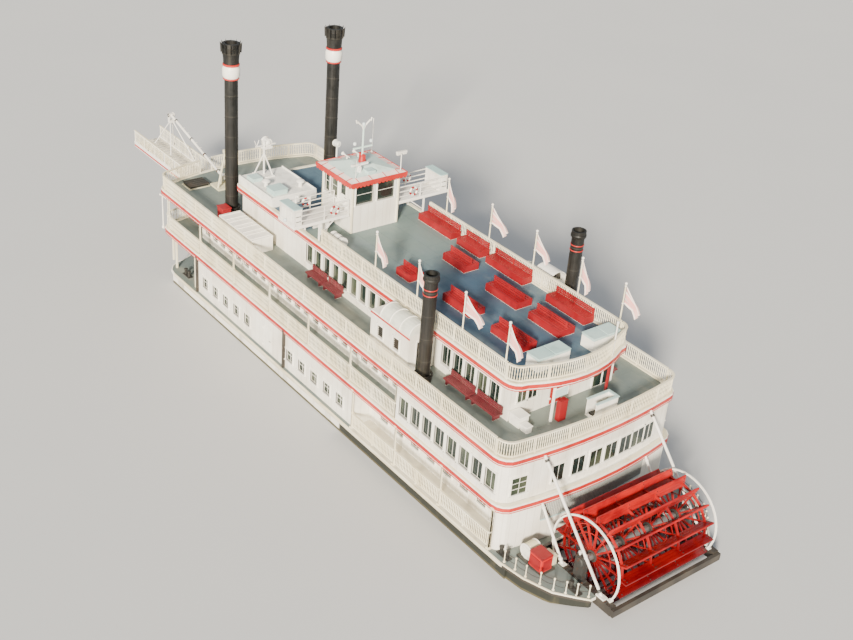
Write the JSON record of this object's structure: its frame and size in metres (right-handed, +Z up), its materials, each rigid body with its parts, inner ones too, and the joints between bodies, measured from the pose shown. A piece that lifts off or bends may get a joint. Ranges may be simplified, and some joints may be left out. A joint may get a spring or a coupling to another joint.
{
  "type": "stern-wheel paddle steamer, scale model 1:2",
  "caption": "Stern-wheel river excursion boat at half size, with stacked cabins, railings, tall stacks, a pilot house, a turning paddle wheel and a landing stage on a boom.",
  "frame": {"origin": "amidships on the centreline, on the hull's flat bottom; the waterline is 0.85 m above it", "axes": "+X to the bow, +Y to port, +Z up"},
  "size_m": [28.96, 6.95, 10.83],
  "materials": {
    "hull_paint": "satin, weathered",
    "deck_paint": "matt grey-green deck paint",
    "top_deck_paint": "matt blue-grey deck paint",
    "wall_paint": "semi-gloss warm white",
    "window_glass": "tinted",
    "rail_paint": "semi-gloss cream",
    "door_red": "semi-gloss",
    "door_paint": "semi-gloss",
    "roof_paint": "satin",
    "wheel_red": "painted, wet",
    "shaft_steel": "satin",
    "bearing_iron": "painted",
    "dark_timber": "weathered",
    "white_steel": "semi-gloss",
    "stack_paint": "satin"
  },
  "bodies": {
    "boat": {"hull": "hull_paint", "main_deck": "deck_paint", "second_deck": "deck_paint", "third_deck": "deck_paint", "top_deck": "top_deck_paint", "main_house": "wall_paint", "second_house": "wall_paint", "third_house": "wall_paint", "pilot_house": "wall_paint", "stair_house_port": "wall_paint", "stair_house_stbd": "wall_paint", "locker_port": "wall_paint", "locker_stbd": "wall_paint", "main_glazing": "window_glass", "second_glazing": "window_glass", "third_glazing": "window_glass", "pilot_glazing": "window_glass", "main_rail_port": "rail_paint", "main_rail_stbd": "rail_paint", "second_rail_port": "rail_paint", "second_rail_stbd": "rail_paint", "second_rail_bow": "rail_paint", "third_rail_port": "rail_paint", "third_rail_stbd": "rail_paint", "third_rail_bow_port": "rail_paint", "third_rail_bow_stbd": "rail_paint", "third_rail_aft": "rail_paint", "top_rail_port": "rail_paint", "top_rail_stbd": "rail_paint", "top_rail_aft": "rail_paint", "wheel_guard_port": "rail_paint", "wheel_guard_stbd": "rail_paint", "boom_frame": "rail_paint", "pilot_roof": "roof_paint", "bearing_port": "bearing_iron", "bearing_stbd": "bearing_iron", "fantail_winch": "bearing_iron", "stern_beam": "dark_timber", "wheel_beam_port": "dark_timber", "wheel_beam_stbd": "dark_timber", "strut_port": "white_steel", "strut_stbd": "white_steel", "foremast": "white_steel", "bridge_wing_port": "white_steel", "bridge_wing_stbd": "white_steel", "tall_stack_port": "stack_paint", "tall_stack_stbd": "stack_paint", "short_stack_port": "stack_paint", "short_stack_stbd": "stack_paint"},
    "wheel": {"paddle_wheel": "wheel_red", "wheel_shaft": "shaft_steel"},
    "rudder_port": {"rudder_port": "hull_paint"},
    "rudder_stbd": {"rudder_stbd": "hull_paint"},
    "boom": {"stage_boom": "white_steel"},
    "stage": {"landing_stage": "white_steel"},
    "gangway_door_port": {"gangway_door_port": "door_paint"},
    "gangway_door_stbd": {"gangway_door_stbd": "door_paint"},
    "pilot_door_port": {"pilot_door_port": "door_paint"},
    "pilot_door_stbd": {"pilot_door_stbd": "door_paint"},
    "third_aft_door": {"third_aft_door": "door_red"}
  },
  "joints": [
    {"name": "wheel_spin", "type": "hinge", "parent": "boat", "child": "wheel", "pos_m": [-11.85, 0, 2.05], "axis": [0, 1, 0], "continuous": true},
    {"name": "rudder_port_turn", "type": "hinge", "parent": "boat", "child": "rudder_port", "pos_m": [-9.5, 1.3, 0.35], "axis": [0, 0, 1], "range_deg": [-40, 40]},
    {"name": "rudder_stbd_turn", "type": "hinge", "parent": "boat", "child": "rudder_stbd", "pos_m": [-9.5, -1.3, 0.35], "axis": [0, 0, 1], "range_deg": [-40, 40]},
    {"name": "boom_luff", "type": "hinge", "parent": "boat", "child": "boom", "pos_m": [9.3, 1.2, 4.825], "axis": [0, -1, 0], "range_deg": [-22, 12]},
    {"name": "stage_level", "type": "hinge", "parent": "boom", "child": "stage", "pos_m": [13.46, 1.2, 5.87], "axis": [0, -1, 0], "range_deg": [-12, 22]},
    {"name": "gangway_door_port_swing", "type": "hinge", "parent": "boat", "child": "gangway_door_port", "pos_m": [2.7, 3.3825, 1.95], "axis": [0, 0, -1], "range_deg": [0, 95]},
    {"name": "gangway_door_stbd_swing", "type": "hinge", "parent": "boat", "child": "gangway_door_stbd", "pos_m": [2.7, -3.3825, 1.95], "axis": [0, 0, 1], "range_deg": [0, 95]},
    {"name": "pilot_door_port_swing", "type": "hinge", "parent": "boat", "child": "pilot_door_port", "pos_m": [1.95, 0.9575, 7.15], "axis": [0, 0, -1], "range_deg": [0, 95]},
    {"name": "pilot_door_stbd_swing", "type": "hinge", "parent": "boat", "child": "pilot_door_stbd", "pos_m": [1.95, -0.9575, 7.15], "axis": [0, 0, 1], "range_deg": [0, 95]},
    {"name": "third_aft_door_swing", "type": "hinge", "parent": "boat", "child": "third_aft_door", "pos_m": [-8.3225, 0.475, 5], "axis": [0, 0, -1], "range_deg": [0, 95]}
  ],
  "couplings": [
    {"joint": "rudder_stbd_turn", "follows": "rudder_port_turn", "ratio": 1},
    {"joint": "stage_level", "follows": "boom_luff", "ratio": -1}
  ]
}
